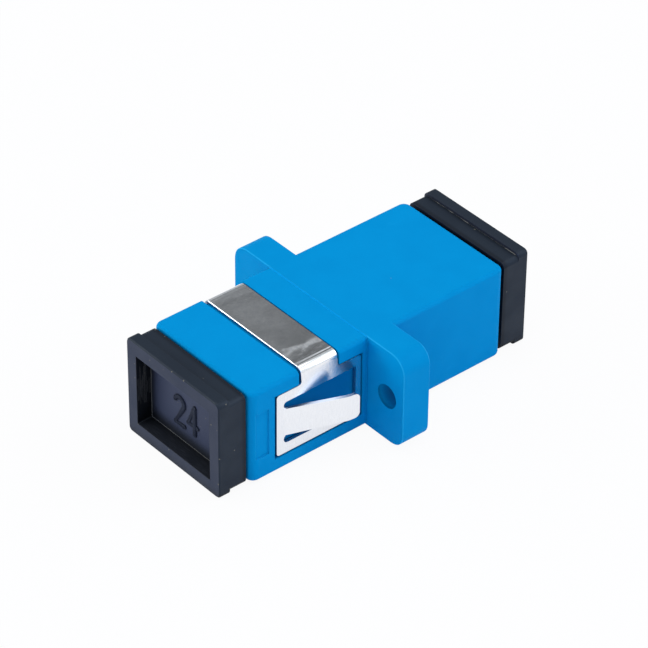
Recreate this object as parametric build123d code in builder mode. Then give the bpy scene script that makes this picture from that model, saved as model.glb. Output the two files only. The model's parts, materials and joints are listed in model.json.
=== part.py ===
from build123d import *
import os
from math import radians, tan

# Fibre optic adapter: a flanged blue housing that joins two square push-pull connectors, with a
# folded sheet-metal panel clip round its front half and a dust cap in each port.
# Millimetres. The origin is where the two ferrules meet: on the optical axis, in the middle of the
# flange. +X runs along the axis to the rear port, +Y across the adapter and +Z up.

# Ports and the housing round them
port_width = 9.1
port_height = 7.5
port_corner_radius = 0.5
port_lead_in = 0.35
side_wall = 1.95
top_wall = 0.9
body_length = 28.0
body_edge_radius = 0.4
mouth_corner_radius = 0.8
keyway_width = 2.45
keyway_length = 5.0

# Flange
flange_width = 22.2
flange_thickness = 3.0
flange_edge_chamfer = 0.12
ear_top_radius = 1.6
ear_foot_radius = 1.4
screw_hole_diameter = 2.3
screw_edge_distance = 2.0

# Seam between the two shells: a short spigot of the front one closes the rear one's pocket
seam_chamfer = 0.03
spigot_length = 0.25
spigot_clearance = 0.05

# Shallow panel on each side, near the front mouth
panel_inset = 0.55
panel_length = 1.4
panel_height = 4.7
panel_depth = 0.15

# Panel clip, folded from one strip of spring steel
clip_thickness = 0.3
clip_bend_radius = 0.7
clip_corner_radius = 0.3
strap_width = 3.9
strap_offset = 2.55
strap_proud = 0.05
wing_length = 9.1
wing_height = 6.3
wing_bar = 1.0
wing_rear_bar = 0.55
wing_root_land = 0.75
wing_sink = 0.08
wing_flange_gap = 0.6
upper_slot_width = 0.65
lower_slot_width = 0.88
tongue_flare = 21.0
tongue_tip_flare = 7.5
tongue_tip_length = 1.1
tongue_tip_narrowing = 0.15
tongue_tip_radius = 0.5
tongue_root_radius = 0.8
tongue_knee_radius = 2.0
panel_grip = 2.55

# Room round the clip in the housing
wing_gap_under = 0.12
wing_gap_front = 0.25
wing_gap_rear = 0.13
wing_gap_height = 0.13
strap_gap_front = 0.32
strap_gap_rear = 0.1

# Split alignment sleeve
ferrule_bore = 2.5
sleeve_wall = 0.35
sleeve_length = 11.4
sleeve_slot = 0.5
sleeve_chamfer = 0.12

# Latch body: a plate with half of the sleeve's boss and two latch arms
plate_shoulder_side = 0.85
plate_shoulder_top = 0.2
plate_clearance = 0.1
plate_corner_radius = 0.3
boss_wall = 0.775
boss_lip_length = 0.6
boss_lip_clearance = 0.2
boss_lead_in = 0.25
sleeve_play = 0.075
sleeve_end_play = 0.05
latch_reach = 9.2
arm_inset = 0.8
arm_thickness = 0.9
arm_width = 3.0
arm_root_radius = 0.4
arm_flex_room = 0.55
arm_room_beside = 0.8
arm_room_beyond = 1.9
barb_height = 0.75
barb_back = 0.5
barb_land = 0.4
core_window_margin = 0.1
peg_diameter = 1.0
peg_height = 0.6
peg_clearance = 0.05
peg_side_inset = 1.0
peg_top_inset = 0.75

# Dust cap
cap_gap = 0.25
cap_neck_length = 1.7
cap_lip_length = 1.1
cap_side_step = 0.38
cap_neck_step = 0.05
cap_lip_proud = 0.27
cap_corner_radius = 0.5
cap_edge_chamfer = 0.12
cap_side_rim = 1.27
cap_top_rim = 1.37
cap_recess_depth = 1.55
cap_recess_radius = 0.1
cap_web = 1.1
plug_clearance = 0.1
plug_wall = 1.0
plug_latch_gap = 0.4
plug_lead_in = 0.3

# Worked out from the sizes above
body_width = port_width + 2 * side_wall
body_height = port_height + 2 * top_wall
mouth_x = body_length / 2
seam_x = -flange_thickness / 2
screw_pitch = flange_width - 2 * screw_edge_distance

plate_thickness = flange_thickness / 2 - spigot_length
plate_width = port_width + 2 * plate_shoulder_side
plate_height = port_height + 2 * plate_shoulder_top
pocket_width = plate_width + 2 * plate_clearance
pocket_height = plate_height + 2 * plate_clearance
spigot_width = pocket_width - 2 * spigot_clearance
spigot_height = pocket_height - 2 * spigot_clearance

arm_inner = port_width / 2 - arm_inset
arm_outer = arm_inner + arm_thickness
arm_room_width = 2 * (arm_outer + arm_flex_room)
arm_room_height = arm_width + 2 * arm_room_beside
arm_room_end = latch_reach + arm_room_beyond

sleeve_diameter = ferrule_bore + 2 * sleeve_wall
boss_bore = sleeve_diameter + 2 * sleeve_play
boss_diameter = boss_bore + 2 * boss_wall
boss_floor = sleeve_length / 2 + sleeve_end_play
boss_tip = boss_floor + boss_lip_length
boss_lip_bore = ferrule_bore + 2 * boss_lip_clearance

wing_outer = body_width / 2 - wing_sink
wing_inner = wing_outer - clip_thickness
wing_rear = seam_x - wing_flange_gap
wing_front = wing_rear - wing_length
strap_top = body_height / 2 + strap_proud
strap_rear = wing_rear - strap_offset
strap_front = strap_rear - strap_width
window_height = wing_height - 2 * wing_bar
window_front = wing_front + wing_root_land
window_rear = wing_rear - wing_rear_bar
tongue_width = window_height - upper_slot_width - lower_slot_width
tongue_middle = (lower_slot_width - upper_slot_width) / 2
tongue_top = tongue_middle + tongue_width / 2
tongue_foot = tongue_middle - tongue_width / 2
tongue_tip = seam_x - panel_grip
recess_floor = wing_inner - wing_gap_under
recess_height = wing_height + 2 * wing_gap_height
groove_floor = strap_top - clip_thickness
groove_front = strap_front - strap_gap_front
groove_rear = strap_rear + strap_gap_rear

cap_width = body_width - 2 * cap_side_step
cap_neck_height = body_height - 2 * cap_neck_step
cap_lip_height = body_height + 2 * cap_lip_proud
cap_neck_start = mouth_x + cap_gap
cap_neck_end = cap_neck_start + cap_neck_length
cap_face = cap_neck_end + cap_lip_length
cap_recess_floor = cap_face - cap_recess_depth
plug_width = port_width - 2 * plug_clearance
plug_height = port_height - 2 * plug_clearance
plug_end = latch_reach + plug_latch_gap
plug_floor = cap_recess_floor - cap_web

near = 0.001


def block(x_from, x_to, width, height, radius=0.0, mode=Mode.ADD):
    """Add or cut a block on the optical axis between two X positions, with rounded long edges."""
    with BuildSketch(Plane.YZ.offset(x_from)) as section:
        Rectangle(width, height)
        if radius > 0:
            fillet(section.vertices(), radius)
    extrude(section.sketch, amount=x_to - x_from, mode=mode)


def tube(x_from, x_to, diameter, mode=Mode.ADD):
    """Add or cut a round bar on the optical axis between two X positions."""
    with BuildSketch(Plane.YZ.offset(x_from)) as section:
        Circle(diameter / 2)
    extrude(section.sketch, amount=x_to - x_from, mode=mode)


def rounded_body(inner_x, end_x):
    """The plain outer form of one shell, rounded at its mouth and along its outer edges."""
    with BuildPart() as body:
        with BuildSketch() as plan:
            with Locations(((inner_x + end_x) / 2, 0)):
                Rectangle(abs(end_x - inner_x), body_width)
            fillet(plan.vertices().filter_by(lambda v: abs(v.X - end_x) < near), mouth_corner_radius)
        extrude(amount=body_height / 2, both=True)
        rims = body.edges().filter_by(lambda e: abs(abs(e.center().Z) - body_height / 2) < near)
        fillet(rims.filter_by(lambda e: abs(e.center().X - inner_x) > near), body_edge_radius)
    return body.part


def open_mouth(end_x):
    """Widen the rim of a port's mouth and cut the connector's keyway through the wall under it."""
    mouth = faces().filter_by(lambda f: abs(f.center().X - end_x) < near)
    chamfer(mouth.sort_by(SortBy.AREA)[-1].inner_wires()[0].edges(), port_lead_in)
    inward = -1 if end_x > 0 else 1
    with BuildSketch(Plane.XY.offset(-body_height / 2)) as keyway:
        with Locations((end_x + inward * keyway_length / 2, 0)):
            Rectangle(keyway_length, keyway_width)
    extrude(keyway.sketch, amount=body_height / 2, mode=Mode.SUBTRACT)


os.makedirs("parts", exist_ok=True)

# Front housing: the shell with the front port, which carries the clip
front_body = rounded_body(seam_x, -mouth_x)

with BuildPart() as front_housing:
    add(front_body)
    seam_edges = front_housing.faces().sort_by(Axis.X)[-1].edges()
    chamfer(seam_edges, seam_chamfer)
    block(seam_x, seam_x + spigot_length, spigot_width, spigot_height)

    # Groove for the clip's strap, over the top and down both sides
    with BuildSketch(Plane.YZ.offset(groove_front)) as groove:
        with Locations((0, -wing_height / 2)):
            Rectangle(2 * body_width, 2 * body_height, align=(Align.CENTER, Align.MIN))
        with Locations((0, groove_floor)):
            Rectangle(2 * recess_floor, body_height, align=(Align.CENTER, Align.MAX), mode=Mode.SUBTRACT)
        core_corners = groove.vertices().filter_by(lambda v: abs(v.Y - groove_floor) < near)
        fillet(core_corners, clip_bend_radius - clip_thickness)
    extrude(amount=groove_rear - groove_front, mode=Mode.SUBTRACT)

    # Recess for the clip's wing and the shallow panel near the mouth, on both sides
    for side in (-1, 1):
        with BuildSketch(Plane.XZ.offset(side * recess_floor)):
            with Locations(((wing_front - wing_gap_front + wing_rear + wing_gap_rear) / 2, 0)):
                Rectangle(wing_length + wing_gap_front + wing_gap_rear, recess_height)
        extrude(amount=side * body_width, mode=Mode.SUBTRACT)
        with BuildSketch(Plane.XZ.offset(side * (body_width / 2 - panel_depth))):
            with Locations((-mouth_x + panel_inset + panel_length / 2, 0)):
                Rectangle(panel_length, panel_height)
        extrude(amount=side * body_width, mode=Mode.SUBTRACT)

    # Port, with room beside it for the latch arms to flex
    block(seam_x + spigot_length, -mouth_x, port_width, port_height, port_corner_radius, Mode.SUBTRACT)
    open_mouth(-mouth_x)
    block(seam_x + spigot_length, -arm_room_end, arm_room_width, arm_room_height, mode=Mode.SUBTRACT)

front_housing.part.label = "front_housing"
export_step(front_housing.part, "parts/front_housing.step")

# Rear housing: the shell with the rear port and the flange
rear_body = rounded_body(0, mouth_x)

with BuildPart() as rear_housing:
    with BuildSketch(Plane.YZ.offset(seam_x)) as flange:
        Rectangle(flange_width, body_height)
        fillet(flange.vertices().group_by(Axis.Y)[-1], ear_top_radius)
        fillet(flange.vertices().group_by(Axis.Y)[0], ear_foot_radius)
    extrude(amount=flange_thickness)
    flange_faces = rear_housing.faces().filter_by(Axis.X)
    chamfer(flange_faces.edges(), flange_edge_chamfer)
    add(rear_body)

    # Screw holes in the ears
    with Locations(Plane.YZ.offset(flange_thickness / 2)):
        with GridLocations(screw_pitch, 0, 2, 1):
            Hole(screw_hole_diameter / 2)

    # Port, the latch arms' room and the pocket that holds the two latch plates
    block(plate_thickness, mouth_x, port_width, port_height, port_corner_radius, Mode.SUBTRACT)
    open_mouth(mouth_x)
    block(plate_thickness, arm_room_end, arm_room_width, arm_room_height, mode=Mode.SUBTRACT)
    block(seam_x, plate_thickness, pocket_width, pocket_height, mode=Mode.SUBTRACT)

rear_housing.part.label = "rear_housing"
export_step(rear_housing.part, "parts/rear_housing.step")

# Front latch body: plate, sleeve boss with a retaining lip, two barbed arms, pegs and sockets
with BuildPart() as front_latch_body:
    block(0, -plate_thickness, plate_width, plate_height, plate_corner_radius)
    tube(0, -boss_tip, boss_diameter)
    tube(0, -boss_floor, boss_bore, Mode.SUBTRACT)
    tube(0, -boss_tip, boss_lip_bore, Mode.SUBTRACT)
    tip_face = front_latch_body.faces().sort_by(Axis.X)[0]
    chamfer(tip_face.edges(), boss_lead_in)

    # Openings in the plate under the barbs, left by the mould's cores
    with BuildSketch(Plane.YZ):
        with GridLocations(2 * arm_inner - barb_height - core_window_margin, 0, 2, 1):
            Rectangle(barb_height + core_window_margin, arm_width)
    extrude(amount=-plate_thickness, mode=Mode.SUBTRACT)

    # Latch arms
    barb_top = arm_inner - barb_height
    for side in (-1, 1):
        with BuildSketch() as arm:
            with BuildLine():
                Polyline(
                    (-plate_thickness / 2, side * arm_outer),
                    (-latch_reach, side * arm_outer),
                    (-latch_reach, side * arm_inner),
                    (barb_height - latch_reach, side * barb_top),
                    (barb_height + barb_land - latch_reach, side * barb_top),
                    (barb_height + barb_land + barb_back - latch_reach, side * arm_inner),
                    (-plate_thickness / 2, side * arm_inner),
                    close=True,
                )
            make_face()
        extrude(amount=arm_width / 2, both=True)
    upright_edges = front_latch_body.edges().filter_by(Axis.Z)
    roots = upright_edges.filter_by(lambda e: abs(e.center().X + plate_thickness) < near)
    fillet(roots.filter_by(lambda e: abs(abs(e.center().Y) - arm_outer) < near), arm_root_radius)

    # Two pegs and two sockets, so that two of these mouldings lock back to back
    peg_y = plate_width / 2 - peg_side_inset
    peg_z = plate_height / 2 - peg_top_inset
    with BuildSketch(Plane.YZ):
        with Locations((peg_y, peg_z), (-peg_y, -peg_z)):
            Circle(peg_diameter / 2)
    extrude(amount=peg_height)
    with BuildSketch(Plane.YZ):
        with Locations((-peg_y, peg_z), (peg_y, -peg_z)):
            Circle(peg_diameter / 2 + peg_clearance)
    extrude(amount=-peg_height - peg_clearance, mode=Mode.SUBTRACT)

front_latch_body.part.label = "front_latch_body"
export_step(front_latch_body.part, "parts/front_latch_body.step")

# Rear latch body: the same moulding, turned to face the rear port
with BuildPart() as rear_latch_body:
    add(front_latch_body.part, rotation=(0, 0, 180))

rear_latch_body.part.label = "rear_latch_body"
export_step(rear_latch_body.part, "parts/rear_latch_body.step")

# Alignment sleeve: a split ceramic tube, loose between the two lips
with BuildPart() as alignment_sleeve:
    tube(-sleeve_length / 2, sleeve_length / 2, sleeve_diameter)
    tube(-sleeve_length / 2, sleeve_length / 2, ferrule_bore, Mode.SUBTRACT)
    end_rims = alignment_sleeve.faces().filter_by(Axis.X).edges()
    chamfer(end_rims.filter_by(lambda e: e.radius < sleeve_diameter / 2 - near), sleeve_chamfer)
    with BuildSketch(Plane.XY):
        Rectangle(sleeve_length, sleeve_slot)
    extrude(amount=sleeve_diameter, mode=Mode.SUBTRACT)

alignment_sleeve.part.label = "alignment_sleeve"
export_step(alignment_sleeve.part, "parts/alignment_sleeve.step")

# One flared tongue of the clip, on the -Y side: it leaves the wing at the window's front end
knee_x = tongue_tip - tongue_tip_length
knee_y = wing_outer + (knee_x - window_front) * tan(radians(tongue_flare))
tip_y = knee_y + tongue_tip_length * tan(radians(tongue_tip_flare))

with BuildPart() as tongue:
    with BuildSketch(Plane.XY.offset(tongue_middle)) as strip:
        with BuildLine():
            FilletPolyline(
                (wing_front + wing_root_land / 2, -wing_outer),
                (window_front, -wing_outer),
                (knee_x, -knee_y),
                (tongue_tip, -tip_y),
                radius=[tongue_root_radius, tongue_knee_radius],
            )
            offset(amount=clip_thickness, side=Side.LEFT)
        make_face()
    extrude(amount=tongue_width / 2, both=True)
    with BuildSketch(Plane.XZ) as outline:
        with BuildLine():
            Polyline(
                (wing_front, tongue_top),
                (window_front, tongue_top),
                (tongue_tip, tongue_top - tongue_tip_narrowing),
                (tongue_tip, tongue_foot + tongue_tip_narrowing),
                (window_front, tongue_foot),
                (wing_front, tongue_foot),
                close=True,
            )
        make_face()
        fillet(outline.vertices().group_by(Axis.X)[-1], tongue_tip_radius)
    extrude(amount=flange_width, both=True, mode=Mode.INTERSECT)

# Mounting clip: a strap over the top, with a framed wing and a tongue on each side
leg_top = strap_top - clip_bend_radius

with BuildPart() as mounting_clip:
    with BuildSketch(Plane.XZ.offset(wing_inner)) as wing:
        with Locations(((wing_front + wing_rear) / 2, 0)):
            Rectangle(wing_length, wing_height)
        fillet(wing.vertices(), clip_corner_radius)
        with Locations(((strap_front + strap_rear) / 2, 0)):
            Rectangle(strap_width, leg_top, align=(Align.CENTER, Align.MIN))
        leg_roots = wing.vertices().filter_by(lambda v: abs(v.Y - wing_height / 2) < near)
        leg_corners = leg_roots.filter_by(lambda v: strap_front - near < v.X < strap_rear + near)
        fillet(leg_corners, clip_corner_radius)
        with Locations(((window_front + window_rear) / 2, (window_height - upper_slot_width) / 2)):
            SlotOverall(window_rear - window_front, upper_slot_width, mode=Mode.SUBTRACT)
        with Locations(((window_front + window_rear) / 2, (lower_slot_width - window_height) / 2)):
            SlotOverall(window_rear - window_front, lower_slot_width, mode=Mode.SUBTRACT)
        with Locations((window_rear, 0)):
            window_length = window_rear - window_front - lower_slot_width / 2
            Rectangle(window_length, window_height, align=(Align.MAX, Align.CENTER), mode=Mode.SUBTRACT)
    extrude(amount=clip_thickness)
    add(tongue.part)
    with BuildSketch(Plane.YZ.offset(strap_front)):
        with BuildLine():
            FilletPolyline(
                (0, strap_top),
                (-wing_outer, strap_top),
                (-wing_outer, wing_height / 2),
                radius=clip_bend_radius,
            )
            offset(amount=clip_thickness, side=Side.LEFT)
        make_face()
    extrude(amount=strap_width)
    mirror(about=Plane.XZ)

mounting_clip.part.label = "mounting_clip"
export_step(mounting_clip.part, "parts/mounting_clip.step")

# Front dust cap: a hollow plug, a neck and a finger lip with a recessed face
with BuildPart() as front_dust_cap:
    block(-cap_neck_start, -cap_neck_end, cap_width, cap_neck_height, cap_corner_radius)
    block(-cap_neck_end, -cap_face, cap_width, cap_lip_height, cap_corner_radius)
    face_edges = front_dust_cap.faces().sort_by(Axis.X)[0].edges()
    chamfer(face_edges, cap_edge_chamfer)
    recess_width = cap_width - 2 * cap_side_rim
    recess_rise = cap_lip_height - 2 * cap_top_rim
    block(-cap_face, -cap_recess_floor, recess_width, recess_rise, cap_recess_radius, Mode.SUBTRACT)
    block(-cap_neck_start, -plug_end, plug_width, plug_height, port_corner_radius)
    plug_rim = front_dust_cap.faces().sort_by(Axis.X)[-1].edges()
    chamfer(plug_rim, plug_lead_in)
    block(-plug_end, -plug_floor, plug_width - 2 * plug_wall, plug_height - 2 * plug_wall, mode=Mode.SUBTRACT)

front_dust_cap.part.label = "front_dust_cap"
export_step(front_dust_cap.part, "parts/front_dust_cap.step")

# Rear dust cap: the same moulding, turned to close the rear port
with BuildPart() as rear_dust_cap:
    add(front_dust_cap.part, rotation=(0, 0, 180))

rear_dust_cap.part.label = "rear_dust_cap"
export_step(rear_dust_cap.part, "parts/rear_dust_cap.step")
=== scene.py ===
"""Looks of a flanged fibre optic adapter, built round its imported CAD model.

The frame holds the adapter's pieces at their real size. This script gives each of them its finished
mesh and material, and adds the studio: floor, lamps, backdrop and camera. Sizes are in millimetres
unless a name ends in _m, and a finished mesh is in metres.
"""

import json
import logging
import math
from dataclasses import dataclass, field
from enum import Enum
from functools import cached_property
from typing import Any, Callable

import bmesh
import bpy
from mathutils import Matrix, Vector

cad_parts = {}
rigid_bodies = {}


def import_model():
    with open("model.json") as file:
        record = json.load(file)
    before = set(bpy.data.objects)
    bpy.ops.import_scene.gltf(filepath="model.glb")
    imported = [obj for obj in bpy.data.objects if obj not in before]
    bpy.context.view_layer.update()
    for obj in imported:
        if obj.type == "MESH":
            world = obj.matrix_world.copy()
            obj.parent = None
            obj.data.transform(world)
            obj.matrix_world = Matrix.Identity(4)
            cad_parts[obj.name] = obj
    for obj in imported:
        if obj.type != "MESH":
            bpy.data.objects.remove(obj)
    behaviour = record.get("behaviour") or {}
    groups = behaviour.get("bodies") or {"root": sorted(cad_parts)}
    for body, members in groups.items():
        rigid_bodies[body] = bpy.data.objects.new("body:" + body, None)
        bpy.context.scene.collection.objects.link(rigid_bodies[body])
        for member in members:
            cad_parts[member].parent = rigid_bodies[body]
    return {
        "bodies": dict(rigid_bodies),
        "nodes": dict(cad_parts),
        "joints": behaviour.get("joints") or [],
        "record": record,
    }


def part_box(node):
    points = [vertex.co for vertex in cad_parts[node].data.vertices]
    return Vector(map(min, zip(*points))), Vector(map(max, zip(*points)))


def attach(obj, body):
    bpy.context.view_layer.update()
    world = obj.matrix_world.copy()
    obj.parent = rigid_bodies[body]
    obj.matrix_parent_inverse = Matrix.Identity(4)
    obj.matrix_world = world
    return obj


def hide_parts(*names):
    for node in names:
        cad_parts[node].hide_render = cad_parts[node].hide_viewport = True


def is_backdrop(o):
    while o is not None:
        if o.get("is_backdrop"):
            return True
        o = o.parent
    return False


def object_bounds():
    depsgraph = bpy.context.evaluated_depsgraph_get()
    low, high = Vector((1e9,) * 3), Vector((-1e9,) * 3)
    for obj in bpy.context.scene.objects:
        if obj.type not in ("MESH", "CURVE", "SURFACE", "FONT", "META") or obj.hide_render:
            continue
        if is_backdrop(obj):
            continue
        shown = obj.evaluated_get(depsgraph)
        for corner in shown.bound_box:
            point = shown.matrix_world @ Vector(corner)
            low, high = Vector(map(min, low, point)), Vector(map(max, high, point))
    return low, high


MM = 0.001
FLOOR_GAP_MM = 0.02
MERGE_MM = 0.0005
SAME_PLACE_MM = 0.001
FLAT_DEGREES = 0.4
GRAIN_SPAN = (0.3, 0.7)
LOG = logging.getLogger("adapter")

Colour = tuple[float, float, float]
Point = tuple[float, float, float]
Span = tuple[float, float]
Sockets = dict[str | int, Any]
Socket = bpy.types.NodeSocket
Node = bpy.types.Node
Tree = bpy.types.NodeTree
Material = bpy.types.Material
Mesh = bpy.types.Mesh
Object = bpy.types.Object


class Body(Enum):
    """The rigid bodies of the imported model."""

    ADAPTER = "adapter"
    FRONT_CAP = "front_cap"
    REAR_CAP = "rear_cap"


class Slot(Enum):
    """The record's material slots."""

    HOUSING = "housing_blue"
    LATCH = "latch_white"
    SLEEVE = "sleeve_ceramic"
    CLIP = "clip_steel"
    CAP = "cap_black"


class End(Enum):
    """The two ends of the adapter, by the sign of their X."""

    FRONT = -1
    REAR = 1


class Graph:
    """Adds nodes to one node tree and wires them."""

    def __init__(self, tree: Tree) -> None:
        """Take the shader, geometry or world tree to work on."""
        self.tree = tree

    def fill(self, node: Node, sockets: Sockets) -> None:
        """Set or feed inputs of a node.

        Args:
            node: The node.
            sockets: Input name or index, with its value or the output that feeds it.
        """
        for key, value in sockets.items():
            if isinstance(value, Socket):
                self.tree.links.new(value, node.inputs[key])
            else:
                node.inputs[key].default_value = value

    def node(self, kind: str, sockets: Sockets | None = None, **settings: Any) -> Node:
        """Add one node.

        Args:
            kind: Blender's type name of the node.
            sockets: Input name or index, with its value or the output that feeds it.
            **settings: Properties of the node itself.

        Returns:
            The new node.
        """
        made = self.tree.nodes.new(kind)
        for name, value in settings.items():
            setattr(made, name, value)
        self.fill(made, sockets or {})
        return made

    def out(self, kind: str, sockets: Sockets | None = None, **settings: Any) -> Socket:
        """Add one node, as node does, and take its first output."""
        return self.node(kind, sockets, **settings).outputs[0]

    def math(self, operation: str, first: Any, second: Any = 0.0) -> Socket:
        """Result of one operation on values or sockets."""
        return self.out("ShaderNodeMath", {0: first, 1: second}, operation=operation)

    def size(self, value: Socket) -> Socket:
        """A value without its sign."""
        return self.math("ABSOLUTE", value)

    def off(self, value: Socket, place: float) -> Socket:
        """How far a value is from a place."""
        return self.size(self.math("SUBTRACT", value, place))

    def below(self, value: Socket, limit: Any) -> Socket:
        """Mask of what is less than a limit."""
        return self.math("LESS_THAN", value, limit)

    def times(self, first: Any, *others: Any) -> Socket:
        """Product of values or sockets.

        Args:
            first: The first of them.
            *others: What it is multiplied by, in turn.

        Returns:
            The product's socket.
        """
        for other in others:
            first = self.math("MULTIPLY", first, other)
        return first

    def ramp(self, value: Any, low: float, high: float, to_low: float = 0.0, to_high: float = 1.0) -> Socket:
        """Map a stretch of values smoothly onto another.

        Args:
            value: Socket to map.
            low: Where the stretch starts.
            high: Where it ends.
            to_low: Result at the start.
            to_high: Result at the end.

        Returns:
            The result's socket.
        """
        sockets = {"Value": value, "From Min": low, "From Max": high, "To Min": to_low, "To Max": to_high}
        return self.out("ShaderNodeMapRange", sockets, interpolation_type="SMOOTHSTEP")

    def blend(self, share: Any, first: Any, second: Any) -> Socket:
        """Mix two colours.

        Args:
            share: How much of the second, as a value or socket.
            first: Colour or socket.
            second: Colour or socket.

        Returns:
            The mixed colour's socket.
        """
        low, high = (colour if isinstance(colour, Socket) else (*colour, 1.0) for colour in (first, second))
        # The node's colour sockets are its inputs 6 and 7 and its output 2
        return self.node("ShaderNodeMix", {"Factor": share, 6: low, 7: high}, data_type="RGBA").outputs[2]

    def noise(self, vector: Socket, scale: Any, detail: float = 2.0) -> Socket:
        """Noise from 0 to 1 at a place."""
        return self.out("ShaderNodeTexNoise", {"Vector": vector, "Scale": scale, "Detail": detail})

    def axes(self, vector: Socket) -> Any:
        """X, Y and Z of a vector, by name."""
        return self.node("ShaderNodeSeparateXYZ", {0: vector}).outputs

    def bump(self, depth: float, height: Socket, over: Socket | None = None) -> Socket:
        """Normal of a surface with a fine relief.

        Args:
            depth: Depth of the relief in millimetres.
            height: Its height, from 0 to 1.
            over: Normal of the relief that it lies on, if it does.

        Returns:
            The normal's socket.
        """
        sockets = {"Strength": 1.0, "Distance": depth * MM, "Height": height}
        return self.out("ShaderNodeBump", sockets if over is None else {**sockets, "Normal": over})


class GroupGraph(Graph):
    """A new shader node group with named inputs and outputs."""

    def __init__(self, name: str, outputs: tuple[str, ...], **inputs: float | None) -> None:
        """Start the group.

        Args:
            name: The group's name.
            outputs: Names of its value outputs.
            **inputs: Default of each input, or None for a vector.
        """
        super().__init__(bpy.data.node_groups.new(name, "ShaderNodeTree"))
        for socket, default in inputs.items():
            kind = "NodeSocketVector" if default is None else "NodeSocketFloat"
            made = self.tree.interface.new_socket(socket, in_out="INPUT", socket_type=kind)
            if default is not None:
                made.default_value = default
        for socket in outputs:
            self.tree.interface.new_socket(socket, in_out="OUTPUT", socket_type="NodeSocketFloat")
        self.given = self.node("NodeGroupInput").outputs
        self.result = self.node("NodeGroupOutput")

    def close(self, *results: Socket) -> Tree:
        """Feed the outputs, in their order, and take the group."""
        self.fill(self.result, dict(enumerate(results)))
        return self.tree


@dataclass
class ShaderGroups:
    """Shader effects that more than one material uses, each built once as a node group."""

    scuff_stretch: Point = (0.25, 4.0, 4.0)
    scuff_width: float = 0.012
    scuff_patches: Span = (0.55, 0.75)
    edge_turn: Span = (0.8, 0.995)
    wear_scale: float = 1.4
    wear_patches: Span = (0.35, 0.65)
    least_wear: float = 0.55
    corner_light: Span = (0.3, 0.95)

    def __post_init__(self) -> None:
        """Build all the groups."""
        self.grain = self._grain()
        self.specks = self._specks()
        self.scuffs = self._scuffs()
        self.edges = self._edges()
        self.corners = self._corners()

    def _grain(self) -> Tree:
        """Fine spark-eroded texture over a slow waviness, as a moulded face has."""
        group = GroupGraph("moulded_grain", ("Height", "Shade"), Vector=None, Fine=9.0, Broad=0.35)
        place, fine, broad = (group.given[name] for name in ("Vector", "Fine", "Broad"))
        return group.close(group.noise(place, fine, 4.0), group.noise(place, broad))

    def _specks(self) -> Tree:
        """Scattered grains of dust, one to a few of the cells."""
        group = GroupGraph("dust_specks", ("Mask",), Vector=None, Cells=1.1, Share=0.3, Size=0.09)
        given = group.given
        cells = group.node("ShaderNodeTexVoronoi", {"Vector": given["Vector"], "Scale": given["Cells"]})
        near = group.below(cells.outputs["Distance"], given["Size"])
        lot = group.out("ShaderNodeSeparateColor", {0: cells.outputs["Color"]})
        return group.close(group.times(near, group.below(lot, given["Share"])))

    def _scuffs(self) -> Tree:
        """Thin handling scratches along the vector's X."""
        group = GroupGraph("handling_scuffs", ("Mask",), Vector=None, Scale=0.5, Amount=0.06)
        place, scale = group.given["Vector"], group.given["Scale"]
        drawn = group.out("ShaderNodeVectorMath", {0: place, 1: self.scuff_stretch}, operation="MULTIPLY")
        thin = group.ramp(group.off(group.noise(drawn, scale, 3.0), 0.5), 0.0, self.scuff_width, 1.0, 0.0)
        where = group.ramp(group.noise(place, scale), *self.scuff_patches)
        return group.close(group.times(thin, where, group.given["Amount"]))

    def _edges(self) -> Tree:
        """How near a convex or concave edge is, from a rounded normal."""
        group = GroupGraph("edge_wear", ("Mask",), Vector=None, Wear=0.5, Radius=0.1)
        rounded = group.out("ShaderNodeBevel", {"Radius": group.times(group.given["Radius"], MM)}, samples=6)
        true = group.node("ShaderNodeNewGeometry").outputs["Normal"]
        turn = group.node("ShaderNodeVectorMath", {0: rounded, 1: true}, operation="DOT_PRODUCT")
        bent = group.ramp(turn.outputs["Value"], *self.edge_turn, 1.0, 0.0)
        broken = group.noise(group.given["Vector"], self.wear_scale, 3.0)
        patchy = group.ramp(broken, *self.wear_patches, self.least_wear, 1.0)
        return group.close(group.times(bent, patchy, group.given["Wear"]))

    def _corners(self) -> Tree:
        """How deep in a corner or a narrow gap a point lies, from ambient occlusion: the mask of painted
        shade.
        """
        group = GroupGraph("corner_grime", ("Mask",), Reach=1.0, Amount=0.5)
        reach = group.times(group.given["Reach"], MM)
        light = group.node("ShaderNodeAmbientOcclusion", {"Distance": reach}, samples=8).outputs["AO"]
        deep = group.ramp(light, *self.corner_light, 1.0, 0.0)
        return group.close(group.times(deep, group.given["Amount"]))


class Surface(Graph):
    """A new material with its graph, its Principled shader and the object's coordinates."""

    def __init__(self, name: str) -> None:
        """Start the material under its name."""
        self.material = bpy.data.materials.new(name)
        self.material.use_nodes = True
        super().__init__(self.material.node_tree)
        self.shader = self.tree.nodes["Principled BSDF"]
        self.read = self.node("ShaderNodeTexCoord").outputs
        self.vector = self.stretched(self.read["Object"], (1 / MM,) * 3)

    @cached_property
    def where(self) -> Any:
        """X, Y and Z of a point in millimetres."""
        return self.axes(self.vector)

    @cached_property
    def facing(self) -> Any:
        """X, Y and Z of the surface's normal."""
        return self.axes(self.read["Normal"])

    def stretched(self, vector: Socket, scale: Point) -> Socket:
        """A vector scaled along its axes."""
        return self.out("ShaderNodeMapping", {"Vector": vector, "Scale": scale})

    def shared(self, tree: Tree, **sockets: float) -> Any:
        """Place one of the shared groups with this material's own values.

        Args:
            tree: The group.
            **sockets: Values of its inputs.

        Returns:
            The group's outputs, by name.
        """
        placed = self.node("ShaderNodeGroup", sockets, node_tree=tree)
        if "Vector" in placed.inputs:
            self.fill(placed, {"Vector": self.vector})
        return placed.outputs


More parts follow.
